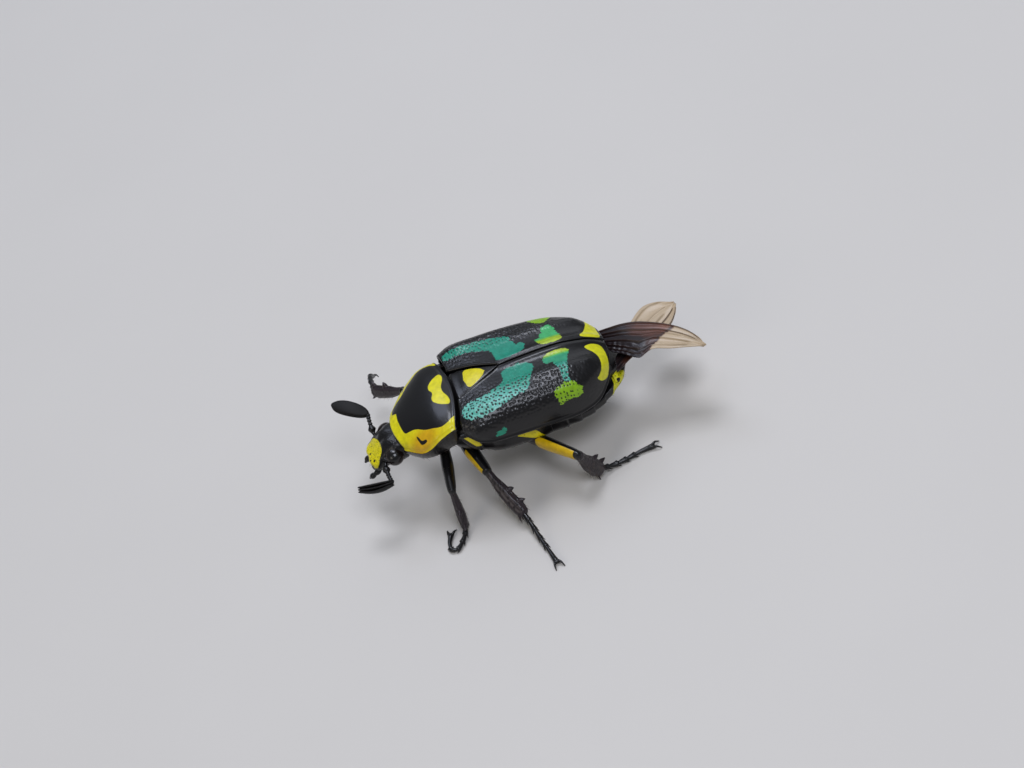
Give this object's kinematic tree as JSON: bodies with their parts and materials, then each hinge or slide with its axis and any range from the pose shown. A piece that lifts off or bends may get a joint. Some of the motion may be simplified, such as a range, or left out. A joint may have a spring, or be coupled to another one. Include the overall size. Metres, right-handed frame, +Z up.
{
  "type": "flower beetle model",
  "caption": "Life-size still model of a flower beetle, Chlorobapta frontalis, standing with its hindwings partly out behind the wing cases.",
  "frame": {"origin": "on the floor below the middle of the model's box", "axes": "+Y from head to tail, so the head faces -Y; +X to the beetle's left; +Z up from the floor"},
  "size_m": [0.0284, 0.0306, 0.01],
  "materials": {
    "black_cuticle": "glossy black cuticle",
    "yellow_cuticle": "satin yellow cuticle",
    "eye_surface": "polished black eye",
    "wing_membrane": "smoky brown wing membrane"
  },
  "bodies": {
    "root": {"abdomen": "black_cuticle", "antenna_club_left": "black_cuticle", "antenna_club_right": "black_cuticle", "antenna_stalk_left": "black_cuticle", "antenna_stalk_right": "black_cuticle", "elytron_left": "black_cuticle", "elytron_right": "black_cuticle", "eye_left": "eye_surface", "eye_right": "eye_surface", "femur_front_left": "black_cuticle", "femur_front_right": "black_cuticle", "femur_hind_left": "black_cuticle", "femur_hind_right": "black_cuticle", "femur_middle_left": "black_cuticle", "femur_middle_right": "black_cuticle", "head": "black_cuticle", "hindwing_left": "wing_membrane", "hindwing_right": "wing_membrane", "mesepimeron_left": "yellow_cuticle", "mesepimeron_right": "yellow_cuticle", "palp_left": "black_cuticle", "palp_right": "black_cuticle", "prothorax": "black_cuticle", "pygidium": "yellow_cuticle", "scutellum": "yellow_cuticle", "tarsus_front_left": "black_cuticle", "tarsus_front_right": "black_cuticle", "tarsus_hind_left": "black_cuticle", "tarsus_hind_right": "black_cuticle", "tarsus_middle_left": "black_cuticle", "tarsus_middle_right": "black_cuticle", "thorax": "black_cuticle", "tibia_front_left": "black_cuticle", "tibia_front_right": "black_cuticle", "tibia_hind_left": "black_cuticle", "tibia_hind_right": "black_cuticle", "tibia_middle_left": "black_cuticle", "tibia_middle_right": "black_cuticle"}
  },
  "joints": []
}
